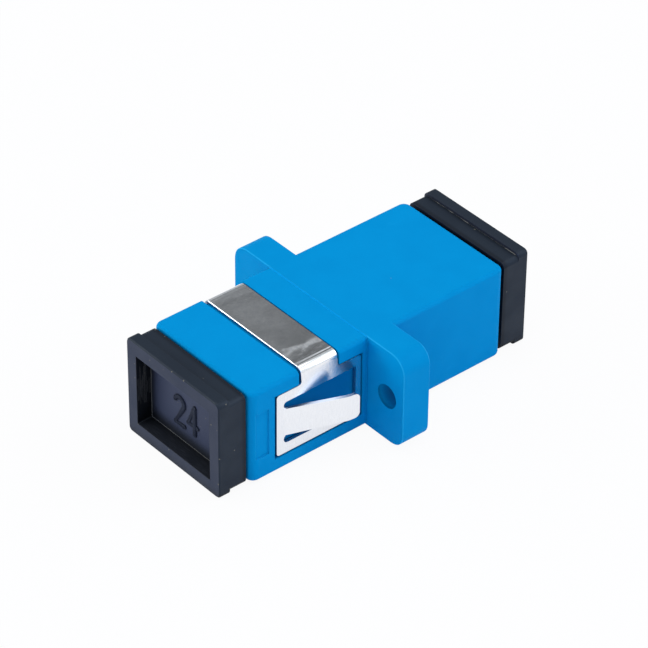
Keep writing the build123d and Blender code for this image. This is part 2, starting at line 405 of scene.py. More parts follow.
@dataclass(frozen=True)
class MouldedPlastic:
    """A moulded plastic finish with grain, scuffs, dust, edges painted lighter for wear and as painted
    highlight, and painted shade in corners.
    """

    name: str
    colour: Colour
    deep_colour: Colour
    edge_colour: Colour
    dust_colour: Colour = (0.5, 0.48, 0.42)
    roughness: Span = (0.42, 0.52)
    specular: float = 0.5
    grain_depth: float = 0.0025
    grain_fine: float = 9.0
    edge_wear: float = 0.35
    edge_reach: float = 0.1
    corner_colour: Colour = (0.0, 0.0, 0.0)
    corner_grime: float = 0.0
    corner_reach: float = 1.0
    dust_share: float = 0.05
    dust_size: float = 0.05
    scuff_amount: float = 0.12
    gloss_tint: Colour = (1.0, 1.0, 1.0)

    def material(self, groups: ShaderGroups) -> Material:
        """Build the material.

        Args:
            groups: The shared shader groups.

        Returns:
            The finished material.
        """
        surface = Surface(self.name)
        grain = surface.shared(groups.grain, Fine=self.grain_fine)
        wear = surface.shared(groups.edges, Wear=self.edge_wear, Radius=self.edge_reach)
        dust = surface.shared(groups.specks, Share=self.dust_share, Size=self.dust_size)
        scuffs = surface.shared(groups.scuffs, Amount=self.scuff_amount)
        plain = surface.blend(surface.ramp(grain["Shade"], *GRAIN_SPAN), self.colour, self.deep_colour)
        colour = self.local_colour(surface, plain)
        # Painted shade: the colour is darkened in corners and narrow gaps by an ambient occlusion mask.
        if self.corner_grime > 0:
            corners = surface.shared(groups.corners, Reach=self.corner_reach, Amount=self.corner_grime)
            colour = surface.blend(corners["Mask"], colour, self.corner_colour)
        # Edges are painted lighter for wear and as painted highlight; on the housing, edges beside the clip
        # get painted shade instead.
        colour = surface.blend(wear["Mask"], colour, self.edge_tone(surface))
        colour = surface.blend(scuffs["Mask"], colour, self.edge_colour)
        sockets = {
            "Base Color": surface.blend(dust["Mask"], colour, self.dust_colour),
            "Roughness": surface.ramp(grain["Shade"], *GRAIN_SPAN, *self.roughness),
            "Specular IOR Level": self.specular,
            "Specular Tint": (*self.gloss_tint, 1.0),
            "Normal": surface.bump(self.grain_depth, grain["Height"]),
        }
        surface.fill(surface.shader, sockets)
        return surface.material

    def local_colour(self, surface: Surface, plain: Socket) -> Socket:
        """The plain colour with what differs from place to place. This one leaves it as it is."""
        return plain

    def edge_tone(self, surface: Surface) -> Any:
        """Colour of an edge, for its wear and its painted highlight."""
        return self.edge_colour


@dataclass(frozen=True)
class HousingPlastic(MouldedPlastic):
    """Plastic of the housing, with a painted highlight on its edges and painted shade beside the clip."""

    # Colour painted on the edges beside the clip: painted shade.
    grimy_edge: Colour = (0.0, 0.045, 0.16)
    wing_room: tuple[float, float, float] = (-11.75, -1.75, 3.6)
    strap_groove: Span = (-8.87, -4.55)
    groove_margin: float = 0.22
    flange_reach: float = 1.6
    rim_tilts: tuple[Span, Span] = ((0.3, 0.5), (0.85, 0.97))
    rim_share: float = 0.35
    recess_depth: float = 6.35
    # The clip recesses are painted this darker blue as painted shade.
    recess_colour: Colour = (0.0, 0.21, 0.52)
    hole_place: float = 9.1
    hole_reach: float = 1.3
    hole_shade: tuple[float, float, float, float] = (0.3, 1.42, 0.6, 0.0)
    # The screw holes are painted this dark blue as painted shade.
    hole_colour: Colour = (0.0, 0.05, 0.19)

    def local_colour(self, surface: Surface, plain: Socket) -> Socket:
        """Painted highlight on the chamfers round the flange's faces, painted shade in the clip recesses and
        down the screw holes.

        Args:
            surface: The material in the making.
            plain: Its plain colour.

        Returns:
            The colour's socket.
        """
        # Painted highlight: the tilted chamfers round the flange are painted paler.
        tilt = surface.size(surface.facing["X"])
        start, end = self.rim_tilts
        tilted = surface.times(surface.ramp(tilt, *start), surface.ramp(tilt, *end, 1.0, 0.0))
        flange = surface.below(surface.size(surface.where["X"]), self.flange_reach)
        rims = surface.times(tilted, flange, self.rim_share)
        # Painted shade: the clip recesses are painted darker.
        deep = surface.below(surface.size(surface.where["Y"]), self.recess_depth)
        recess = surface.times(self.beside_wing(surface), deep)
        colour = surface.blend(rims, surface.blend(recess, plain, self.recess_colour), self.edge_colour)
        # Painted shade: the screw holes are painted darker the deeper they go.
        return surface.blend(self.down_hole(surface), colour, self.hole_colour)

    def down_hole(self, surface: Surface) -> Socket:
        """Mask that grows down the flange's screw holes, where little light gets in.

        Args:
            surface: The material in the making.

        Returns:
            The mask's socket.
        """
        along, across, up = (surface.size(surface.where[axis]) for axis in "XYZ")
        near = surface.math("MAXIMUM", surface.off(across, self.hole_place), up)
        return surface.times(surface.below(near, self.hole_reach), surface.ramp(along, *self.hole_shade))

    def beside_wing(self, surface: Surface) -> Socket:
        """Mask of the room round a wing, on both sides of the adapter.

        Args:
            surface: The material in the making.

        Returns:
            The mask's socket.
        """
        front, rear, rise = self.wing_room
        along = surface.below(surface.off(surface.where["X"], (front + rear) / 2), (rear - front) / 2)
        return surface.times(along, surface.below(surface.size(surface.where["Z"]), rise))

    def edge_tone(self, surface: Surface) -> Socket:
        """Painted highlight on the edges, but painted shade on those round the clip's groove and recesses.

        Args:
            surface: The material in the making.

        Returns:
            The colour's socket.
        """
        # Painted shade on the edges beside the clip and its groove; painted highlight on the other edges.
        beside = self.beside_wing(surface)
        for edge in self.strap_groove:
            near = surface.below(surface.off(surface.where["X"], edge), self.groove_margin)
            beside = surface.math("MAXIMUM", beside, near)
        return surface.blend(beside, self.edge_colour, self.grimy_edge)


@dataclass(frozen=True)
class CapPlastic(MouldedPlastic):
    """Plastic of a dust cap: end faces painted lighter as painted light, streaks in its face recess, and
    painted shade on the recess's walls, its floor and the cap's collar.
    """

    face_facing: Span = (0.8, 0.95)
    # End faces and the recess floor are painted lighter than the plain plastic: painted light.
    face_colour: Colour = (0.024, 0.031, 0.055)
    floor_colour: Colour = (0.034, 0.042, 0.077)
    # The recess floor is painted darker towards its bottom and its sides: painted shade.
    floor_grime: Colour = (0.007, 0.009, 0.014)
    grime_below: tuple[float, float, float, float] = (-3.3, -2.0, 0.85, 0.0)
    grime_beside: tuple[float, float, float, float] = (4.1, 4.8, 0.0, 0.7)
    streak_stretch: Point = (16.0, 0.9, 0.9)
    streak_span: Span = (0.45, 0.75)
    # Streak colours of the recess walls: near black for walls facing sideways as painted shade, lighter for
    # the wall facing up as painted light.
    upright_streaks: tuple[Colour, Colour] = ((0.002, 0.003, 0.005), (0.005, 0.006, 0.009))
    lower_streaks: tuple[Colour, Colour] = ((0.012, 0.014, 0.019), (0.032, 0.035, 0.043))
    lower_facing: Span = (0.5, 0.9)
    recess_start: float = 15.45
    recess_half: Span = (4.9, 3.6)
    collar: Span = (14.4, 14.8)
    # The collar next to the housing is painted very dark: painted shade of the gap.
    collar_colour: Colour = (0.003, 0.006, 0.012)

    def local_colour(self, surface: Surface, plain: Socket) -> Socket:
        """End faces painted lighter as painted light, painted shade on the recess floor towards its bottom
        and sides, streaks on the recess's walls with painted shade, and painted shade at the collar.

        Args:
            surface: The material in the making.
            plain: Its plain colour.

        Returns:
            The colour's socket.
        """
        along, across, up = (surface.size(surface.where[axis]) for axis in "XYZ")
        inside = surface.math("GREATER_THAN", along, self.recess_start)
        for place, half in zip((across, up), self.recess_half):
            inside = surface.times(inside, surface.below(place, half))
        streaks = surface.noise(surface.stretched(surface.vector, self.streak_stretch), 1.0, 4.0)
        streaked = surface.ramp(streaks, *self.streak_span)
        # Streaks are draw marks; the walls facing sideways are painted near black as painted shade, the wall
        # facing up lighter as painted light.
        upright = surface.blend(streaked, *self.upright_streaks)
        lower = surface.blend(streaked, *self.lower_streaks)
        wall = surface.blend(surface.ramp(surface.facing["Z"], *self.lower_facing), upright, lower)
        # Painted shade: the cap darkens towards the collar beside the housing.
        outside = surface.blend(surface.ramp(along, *self.collar, 1.0, 0.0), plain, self.collar_colour)
        # Painted shade: the floor darkens towards its bottom and towards the side walls.
        below = surface.ramp(surface.where["Z"], *self.grime_below)
        settled = surface.math("MAXIMUM", below, surface.ramp(across, *self.grime_beside))
        floor = surface.blend(settled, self.floor_colour, self.floor_grime)
        end = surface.blend(inside, self.face_colour, floor)
        # Painted light: faces along X take the lighter end face and floor colours.
        ends = surface.ramp(surface.size(surface.facing["X"]), *self.face_facing)
        return surface.blend(ends, surface.blend(inside, outside, wall), end)


@dataclass(frozen=True)
class SpringSteel:
    """Bright rolled stainless strip with a fine grain along its length."""

    name: str = "rolled_spring_steel"
    colour: Colour = (0.93, 0.935, 0.945)
    dark_colour: Colour = (0.76, 0.775, 0.80)
    cut_colour: Colour = (0.42, 0.46, 0.52)
    roughness: Span = (0.13, 0.2)
    wing_roughness: float = 0.2
    cut_roughness: float = 0.3
    line_stretch: Point = (1.0, 0.12, 0.12)
    line_scale: float = 14.0
    wing_lines: float = 0.25
    mottle_scales: Span = (3.0, 0.55)
    mottle_shares: Span = (0.7, 0.3)
    mottle_span: Span = (0.25, 0.75)
    ripple_depth: float = 0.004
    grain_depth: float = 0.003
    crown_height: float = 0.045
    crown_rise: Span = (3.4, 4.7)
    crown_fall: tuple[float, float, float, float] = (4.7, 5.4, 0.0, 0.5)
    fold_step: tuple[float, float, float, float] = (5.43, 5.65, 0.0, 0.55)
    crown_wander: float = 1.6
    crown_slant: float = 0.1
    far_crown: float = 0.1
    strap_underside: float = 4.3
    strap_middle: float = -6.6
    wing_top: float = 3.5
    cut_facing: Span = (0.75, 0.9)

    def material(self, groups: ShaderGroups) -> Material:
        """Build the material.

        Args:
            groups: The shared shader groups.

        Returns:
            The finished material.
        """
        surface = Surface(self.name)
        lines = surface.noise(surface.stretched(surface.vector, self.line_stretch), self.line_scale, 5.0)
        fine, broad = self.mottle_scales
        grain = surface.shared(groups.grain, Fine=fine, Broad=broad)
        strap = surface.math("GREATER_THAN", surface.where["Z"], self.strap_underside)
        drawn = surface.ramp(strap, 0.0, 1.0, self.wing_lines, 1.0)
        shade = surface.times(surface.ramp(lines, *GRAIN_SPAN), drawn)
        cut = self.cut_faces(surface)
        rolled = surface.blend(shade, self.colour, self.dark_colour)
        slow, quick = self.mottle_shares
        mottle = surface.math("ADD", surface.times(grain["Shade"], slow), surface.times(shade, quick))
        rough = surface.ramp(mottle, *self.mottle_span, *self.roughness)
        rough = surface.math("MAXIMUM", rough, surface.ramp(strap, 0.0, 1.0, self.wing_roughness, 0.0))
        crown = surface.bump(self.crown_height, self.crown(surface, grain["Shade"]))
        ripple = surface.bump(self.ripple_depth, grain["Shade"], crown)
        sockets = {
            "Base Color": surface.blend(cut, rolled, self.cut_colour),
            "Roughness": surface.math("MAXIMUM", rough, surface.times(cut, self.cut_roughness)),
            "Metallic": 1.0,
            "Normal": surface.bump(self.grain_depth, surface.math("ADD", lines, grain["Height"]), ripple),
        }
        surface.fill(surface.shader, sockets)
        return surface.material

    def cut_faces(self, surface: Surface) -> Socket:
        """Mask of the sheet's sheared edges, which face along the adapter or, on the wings, up and down.

        Args:
            surface: The material in the making.

        Returns:
            The mask's socket.
        """
        along, up = (surface.ramp(surface.size(surface.facing[axis]), *self.cut_facing) for axis in "XZ")
        wing = surface.below(surface.where["Z"], self.wing_top)
        return surface.math("MAXIMUM", along, surface.times(up, wing))

    def crown(self, surface: Surface, uneven: Socket) -> Socket:
        """Height of the slight ridge that folding leaves across the strap beside each bend.

        Args:
            surface: The material in the making.
            uneven: A slow noise that makes the ridge wander.

        Returns:
            The height's socket, from 0 to 1.
        """
        where = surface.where
        wander = surface.times(surface.math("SUBTRACT", uneven, 0.5), self.crown_wander)
        skew = surface.times(surface.math("SUBTRACT", where["X"], self.strap_middle), self.crown_slant)
        aside = surface.size(where["Y"])
        across = surface.math("ADD", aside, surface.math("ADD", wander, skew))
        bow = surface.ramp(across, *self.crown_rise)
        bow = surface.math("SUBTRACT", bow, surface.ramp(across, *self.crown_fall))
        bow = surface.math("SUBTRACT", bow, surface.ramp(aside, *self.fold_step))
        return surface.times(bow, surface.ramp(where["Y"], -1.0, 1.0, 1.0, self.far_crown))


# Blue housing: painted highlight on its edges and chamfers, painted shade in corners, clip recesses, screw
# holes and beside the clip.
BLUE_HOUSING = HousingPlastic(
    "blue_housing_plastic",
    colour=(0.0, 0.306, 0.66),
    deep_colour=(0.0, 0.293, 0.64),
    edge_colour=(0.035, 0.56, 0.95),
    specular=0.02,
    dust_share=0.006,
    dust_size=0.035,
    edge_wear=1.0,
    edge_reach=0.12,
    corner_colour=(0.0, 0.05, 0.16),
    corner_grime=0.35,
    corner_reach=0.35,
)
# Black cap: painted shade in corners and its recess, painted light on its end faces, edges lighter for wear
# and as painted highlight.
BLACK_CAP = CapPlastic(
    "black_cap_plastic",
    colour=(0.012, 0.019, 0.030),
    deep_colour=(0.010, 0.016, 0.026),
    edge_colour=(0.042, 0.052, 0.070),
    dust_colour=(0.15, 0.14, 0.11),
    roughness=(0.5, 0.62),
    specular=0.26,
    gloss_tint=(0.78, 0.88, 1.0),
    grain_depth=0.004,
    grain_fine=7.0,
    dust_share=0.4,
    dust_size=0.075,
    edge_wear=0.5,
    corner_grime=0.8,
    corner_reach=1.5,
)
# The cap's plastic for the raised number, coloured darker than the painted light of the recess floor: painted
# shade.
POLISHED_CAP = MouldedPlastic(
    "black_cap_polished_number",
    colour=(0.019, 0.024, 0.041),
    deep_colour=(0.015, 0.019, 0.033),
    edge_colour=(0.022, 0.028, 0.042),
    roughness=(0.5, 0.6),
    specular=0.12,
    gloss_tint=(0.78, 0.88, 1.0),
    grain_depth=0.001,
    dust_share=0.0,
    edge_wear=0.3,
)
IVORY_LATCH = MouldedPlastic(
    "ivory_latch_plastic",
    colour=(0.80, 0.78, 0.70),
    deep_colour=(0.76, 0.74, 0.66),
    edge_colour=(0.84, 0.83, 0.77),
    roughness=(0.35, 0.45),
    grain_depth=0.0015,
    dust_share=0.0,
    scuff_amount=0.0,
)
# The weld bead is coloured paler than the shells: a painted highlight along the seam.
PALE_WELD = MouldedPlastic(
    "blue_housing_pale_weld",
    colour=(0.0, 0.35, 0.75),
    deep_colour=(0.0, 0.32, 0.71),
    edge_colour=(0.02, 0.42, 0.85),
    specular=0.02,
    dust_share=0.0,
    scuff_amount=0.0,
)
# Draw lines, bead and flash are real marks, but their pale grey is a painted highlight: glints on the black
# cap.
WITNESS_LINE = MouldedPlastic(
    "black_cap_flash_and_witness_lines",
    colour=(0.15, 0.15, 0.14),
    deep_colour=(0.07, 0.07, 0.07),
    edge_colour=(0.18, 0.18, 0.16),
    roughness=(0.4, 0.5),
    specular=0.4,
    grain_depth=0.002,
    edge_wear=0.4,
)
ZIRCONIA = MouldedPlastic(
    "polished_zirconia",
    colour=(0.86, 0.85, 0.80),
    deep_colour=(0.83, 0.82, 0.77),
    edge_colour=(0.88, 0.87, 0.84),
    roughness=(0.12, 0.2),
    specular=0.8,
    grain_depth=0.0005,
    dust_share=0.0,
    scuff_amount=0.0,
)
STEEL = SpringSteel()


@dataclass
class Finishes:
    """The adapter's materials."""

    groups: ShaderGroups = field(default_factory=ShaderGroups)
    made: dict[str, Material] = field(default_factory=dict)

    def of(self, recipe: MouldedPlastic | SpringSteel) -> Material:
        """The material of a finish, built when it is first asked for.

        Args:
            recipe: The finish.

        Returns:
            Its material.
        """
        if recipe.name not in self.made:
            self.made[recipe.name] = recipe.material(self.groups)
        return self.made[recipe.name]


@dataclass
class Piece:
    """One finished piece of the adapter, what it rides on and what it stands for."""

    obj: Object
    body: Body
    slot: Slot
    stands_for: tuple[str, ...] = ()

    def settle(self) -> None:
        """Hand the piece to the frame and report it."""
        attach(self.obj, self.body.value)
        if self.stands_for:
            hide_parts(*self.stands_for)
        LOG.info("%s: %d faces, rides on %s", self.obj.name, len(self.obj.data.polygons), self.body.value)


def link_mesh(name: str, mesh: Mesh, material: Material) -> Object:
    """Put a mesh in the scene as an object at the origin.

    Args:
        name: Name of the piece.
        mesh: The mesh, in metres and in the adapter's frame.
        material: Its only material.

    Returns:
        The new object.
    """
    mesh.name = name
    mesh.materials.clear()
    mesh.materials.append(material)
    made = bpy.data.objects.new(name, mesh)
    bpy.context.scene.collection.objects.link(made)
    return made


def seat_mesh(name: str, mesh: Mesh, material: Material, place: Matrix = Matrix.Identity(4)) -> Object:
    """Put a mesh made in millimetres in the scene.

    Args:
        name: Name of the piece.
        mesh: The mesh, in millimetres.
        material: Its only material.
        place: Its turn and its place in the adapter's frame, in millimetres.

    Returns:
        The new object.
    """
    mesh.transform(Matrix.Scale(MM, 4) @ place)
    return link_mesh(name, mesh, material)


def evaluated_mesh(source: Object) -> Mesh:
    """A plain mesh of an object as its modifiers leave it.

    Args:
        source: An object with modifiers. It is removed.

    Returns:
        The new mesh, with no modifier behind it.
    """
    depsgraph = bpy.context.evaluated_depsgraph_get()
    mesh = bpy.data.meshes.new_from_object(source.evaluated_get(depsgraph), depsgraph=depsgraph)
    bpy.data.objects.remove(source)
    return mesh


@dataclass(frozen=True)
class Rounding:
    """How one set of edges is rounded."""

    width: float
    facets: int = 2
    least_angle: float = 28.0
    clamped: bool = True
    picks: Callable[[Vector], bool] = lambda middle: True


def soften(node: Object, name: str, roundings: tuple[Rounding, ...], material: Material) -> Object:
    """Copy a CAD node and round its sharp edges slightly, as a mould or a deburring drum does.

    Args:
        node: The CAD node. It is left as it is.
        name: Name of the new piece.
        roundings: What is done to its edges, one after another. A single facet is left flat.
        material: Material of the piece.

    Returns:
        The new piece.
    """
    shape = bmesh.new()
    shape.from_mesh(node.data)
    bmesh.ops.scale(shape, vec=(1 / MM,) * 3, verts=shape.verts)
    bmesh.ops.remove_doubles(shape, verts=shape.verts, dist=MERGE_MM)
    level = math.radians(FLAT_DEGREES)
    bmesh.ops.dissolve_limit(shape, angle_limit=level, verts=shape.verts, edges=shape.edges)
    flat = []
    for rounding in roundings:
        sharp = [
            edge
            for edge in shape.edges
            if edge.is_manifold
            and edge.calc_face_angle() > math.radians(rounding.least_angle)
            and rounding.picks((edge.verts[0].co + edge.verts[1].co) / 2)
        ]
        cut = bmesh.ops.bevel(
            shape,
            geom=sharp,
            offset=rounding.width,
            offset_type="OFFSET",
            segments=rounding.facets,
            profile=0.5,
            affect="EDGES",
            clamp_overlap=rounding.clamped,
        )
        if rounding.facets == 1:
            flat += [face.calc_center_median() for face in cut["faces"]]
    for face in shape.faces:
        middle = face.calc_center_median()
        face.smooth = not any((middle - place).length < SAME_PLACE_MM for place in flat)
    bmesh.ops.scale(shape, vec=(MM,) * 3, verts=shape.verts)
    mesh = bpy.data.meshes.new(name)
    shape.to_mesh(mesh)
    shape.free()
    made = link_mesh(name, mesh, material)
    weighted = made.modifiers.new("weighted", "WEIGHTED_NORMAL")
    weighted.mode = "FACE_AREA"
    weighted.weight = 80
    return link_mesh(name, evaluated_mesh(made), material)


class NodeShape(Graph):
    """A mesh made by a Geometry Nodes tree whose sizes are named inputs."""

    def __init__(self, name: str, sizes: dict[str, float | int], path: bpy.types.Curve | None = None) -> None:
        """Start the tree.

        Args:
            name: Name of the tree and of its mesh.
            sizes: Each input's name and value. A whole number makes an integer input.
            path: Curves that the tree follows, as its input "Path".
        """
        super().__init__(bpy.data.node_groups.new(name, "GeometryNodeTree"))
        self.name = name
        self.host = path or bpy.data.meshes.new(name)
        self.tree.interface.new_socket("Path", in_out="INPUT", socket_type="NodeSocketGeometry")
        self.values: dict[str, float | int] = {}
        for size, value in sizes.items():
            kind = "NodeSocketInt" if isinstance(value, int) else "NodeSocketFloat"
            socket = self.tree.interface.new_socket(size, in_out="INPUT", socket_type=kind)
            self.values[socket.identifier] = value
        self.tree.interface.new_socket("Geometry", in_out="OUTPUT", socket_type="NodeSocketGeometry")
        self.given = self.node("NodeGroupInput").outputs
        self.result = self.node("NodeGroupOutput")

    def point(self, x: Any = 0.0, y: Any = 0.0, z: Any = 0.0) -> Socket:
        """Join three values or sockets into a vector."""
        return self.out("ShaderNodeCombineXYZ", {0: x, 1: y, 2: z})

    def half(self, value: Socket) -> Socket:
        """Half of a value."""
        return self.times(value, 0.5)

    def scatter(self, low: Point, high: Point, seed: Socket) -> Socket:
        """A random vector for each element, between two vectors and with a fixed seed."""
        return self.out("FunctionNodeRandomValue", {0: low, 1: high, "Seed": seed}, data_type="FLOAT_VECTOR")

    def rectangle(self, width: Socket, height: Socket) -> Socket:
        """Curve of a rectangle round the origin."""
        return self.out("GeometryNodeCurvePrimitiveQuadrilateral", {"Width": width, "Height": height})

    def circle(self, sides: int, radius: Socket) -> Socket:
        """Curve of a circle round the origin, with flat sides."""
        return self.out("GeometryNodeCurvePrimitiveCircle", {"Resolution": sides, "Radius": radius})

    def eased(self, curve: Socket, radius: Socket, steps: int) -> Socket:
        """A curve with its corners rounded in so many steps."""
        sockets = {"Curve": curve, "Radius": radius, "Count": steps}
        return self.out("GeometryNodeFilletCurve", sockets, mode="POLY")

    def level(self, curve: Socket) -> Socket:
        """A curve whose profile keeps upright along it."""
        return self.out("GeometryNodeSetCurveNormal", {"Curve": curve}, mode="Z_UP")

    def tube(self, path: Socket, profile: Socket, **sockets: Socket) -> Socket:
        """Sweep a profile along a path and close its ends."""
        sockets = {"Curve": path, "Profile Curve": profile, "Fill Caps": True, **sockets}
        return self.out("GeometryNodeCurveToMesh", sockets)

    def instances(self, points: Socket, shape: Socket, **sockets: Socket) -> Socket:
        """Put a shape on each point."""
        return self.out("GeometryNodeInstanceOnPoints", {"Points": points, "Instance": shape, **sockets})

    def place(self, shape: Socket, move: Any = (0.0, 0.0, 0.0), turn: Point = (0.0, 0.0, 0.0)) -> Socket:
        """Turn a shape and move it."""
        return self.out("GeometryNodeTransform", {"Geometry": shape, "Translation": move, "Rotation": turn})

    def join(self, *shapes: Socket) -> Socket:
        """Join shapes into one geometry.

        Args:
            *shapes: The shapes.

        Returns:
            The geometry's socket.
        """
        made = self.node("GeometryNodeJoinGeometry")
        for shape in shapes:
            self.fill(made, {0: shape})
        return made.outputs[0]

    def mesh(self, shape: Socket, material: Material) -> Mesh:
        """Close the tree and take its mesh.

        Args:
            shape: What the tree puts out.
            material: Its material.

        Returns:
            A plain mesh, in millimetres.
        """
        real = self.out("GeometryNodeRealizeInstances", {"Geometry": shape})
        dressed = self.out("GeometryNodeSetMaterial", {"Geometry": real, "Material": material})
        self.fill(self.result, {0: dressed})
        host = bpy.data.objects.new(self.name, self.host)
        modifier = host.modifiers.new(self.name, "NODES")
        modifier.node_group = self.tree
        for identifier, value in self.values.items():
            modifier[identifier] = value
        bpy.context.scene.collection.objects.link(host)
        return evaluated_mesh(host)


@dataclass
class WeldBead:
    """The thin thread of plastic that the weld pushes out between the two shells."""

    width: float = 12.87
    height: float = 9.24
    corner: float = 0.4
    x: float = -1.467
    thickness: float = 0.085

    def mesh(self, material: Material) -> Mesh:
        """Sweep the thread round the body's section.

        Args:
            material: Material of the thread.

        Returns:
            The thread's mesh, in millimetres.
        """
        sizes = {"Width": self.width, "Height": self.height, "Corner": self.corner, "Place": self.x}
        shape = NodeShape("weld_bead", {**sizes, "Thickness": self.thickness})
        given = shape.given
        round_body = shape.eased(shape.rectangle(given["Height"], given["Width"]), given["Corner"], 6)
        bead = shape.tube(round_body, shape.circle(8, given["Thickness"]))
        return shape.mesh(shape.place(bead, shape.point(given["Place"]), (0.0, math.pi / 2, 0.0)), material)


@dataclass
class HousingShells:
    """The two welded blue shells."""

    edge_rounding: float = 0.07
    seam_x: float = -1.5
    seam_reach: float = 0.05
    bead: WeldBead = field(default_factory=WeldBead)

    def build(self, frame: dict[str, Any], finishes: Finishes) -> list[Piece]:
        """Round both shells' edges and lay the weld's bead between them.

        Args:
            frame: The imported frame.
            finishes: The adapter's materials.

        Returns:
            The weld's bead and the two shells.
        """
        # The bead's paler blue is a painted highlight along the weld line.
        pale = finishes.of(PALE_WELD)
        bead = seat_mesh("housing_weld_bead", self.bead.mesh(pale), pale)
        made = [Piece(bead, Body.ADAPTER, Slot.HOUSING)]
        rounding = Rounding(self.edge_rounding, picks=self.off_weld)
        for node in ("front_housing", "rear_housing"):
            shell = soften(frame["nodes"][node], f"{node}_shell", (rounding,), finishes.of(BLUE_HOUSING))
            made.append(Piece(shell, Body.ADAPTER, Slot.HOUSING, (node,)))
        return made

    def off_weld(self, middle: Vector) -> bool:
        """Whether an edge lies clear of the weld between the two shells."""
        return abs(middle.x - self.seam_x) > self.seam_reach


@dataclass
class PanelClip:
    """The folded sheet-metal clip."""

    edge_rounding: float = 0.03
    strap_facet: float = 0.055
    rim_angle: float = 60.0
    bend_start: float = 5.72
    bend_centre: float = 4.0
    bend_radius: float = 0.7
    rim_margin: float = 0.1

    def build(self, frame: dict[str, Any], finishes: Finishes) -> list[Piece]:
        """Deburr the clip's sheared edges.

        Args:
            frame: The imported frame.
            finishes: The adapter's materials.

        Returns:
            The clip.
        """
        node = "mounting_clip"
        rims = Rounding(self.strap_facet, 1, self.rim_angle, clamped=False, picks=self.on_strap_rim)
        roundings = (rims, Rounding(self.edge_rounding))
        sheet = soften(frame["nodes"][node], "folded_clip_sheet", roundings, finishes.of(STEEL))
        return [Piece(sheet, Body.ADAPTER, Slot.CLIP, (node,))]

    def on_strap_rim(self, middle: Vector) -> bool:
        """Whether an edge is a rim of the outer face of the strap or of a bend."""
        off = math.hypot(max(abs(middle.y) - self.bend_start, 0.0), middle.z - self.bend_centre)
        return middle.z > self.bend_centre and off > self.bend_radius - self.rim_margin


@dataclass
class SplitSleeve:
    """The ceramic tube that lines up the two ferrules, with one slot along its top."""

    bore: float = 2.5
    wall: float = 0.35
    length: float = 11.4
    slot: float = 0.5
    rim: float = 0.06
    steps: int = 96

    def mesh(self, material: Material) -> Mesh:
        """Sweep the wall's section round the bore, from one side of the slot to the other.

        Args:
            material: Material of the sleeve.

        Returns:
            The sleeve's mesh, in millimetres.
        """
        sizes = {"Bore": self.bore, "Wall": self.wall, "Length": self.length, "Slot": self.slot}
        shape = NodeShape("split_sleeve", {**sizes, "Rim": self.rim, "Steps": self.steps})
        given = shape.given
        middle = shape.half(shape.math("ADD", given["Bore"], given["Wall"]))
        gap = shape.math("DIVIDE", shape.half(given["Slot"]), middle)
        sweep = shape.math("SUBTRACT", 2 * math.pi, shape.times(gap, 2.0))
        sockets = {"Resolution": given["Steps"], "Radius": middle, "Start Angle": gap, "Sweep Angle": sweep}
        ring = shape.level(shape.out("GeometryNodeCurveArc", sockets))
        section = shape.eased(shape.rectangle(given["Wall"], given["Length"]), given["Rim"], 3)
        return shape.mesh(shape.place(shape.tube(ring, section), turn=(0.0, -math.pi / 2, 0.0)), material)


@dataclass
class FerruleLine:
    """What the ports hold: two latch bodies and the split sleeve."""

    edge_rounding: float = 0.04
    sleeve: SplitSleeve = field(default_factory=SplitSleeve)

    def build(self, frame: dict[str, Any], finishes: Finishes) -> list[Piece]:
        """Round the latch bodies' edges and lay the sleeve between them.

        Args:
            frame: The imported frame.
            finishes: The adapter's materials.

        Returns:
            The three pieces.
        """
        made = []
        rounding = Rounding(self.edge_rounding)
        for node in ("front_latch_body", "rear_latch_body"):
            moulding = soften(frame["nodes"][node], f"{node}_moulding", (rounding,), finishes.of(IVORY_LATCH))
            made.append(Piece(moulding, Body.ADAPTER, Slot.LATCH, (node,)))
        ceramic = finishes.of(ZIRCONIA)
        tube = seat_mesh("split_sleeve_tube", self.sleeve.mesh(ceramic), ceramic)
        made.append(Piece(tube, Body.ADAPTER, Slot.SLEEVE, ("alignment_sleeve",)))
        return made


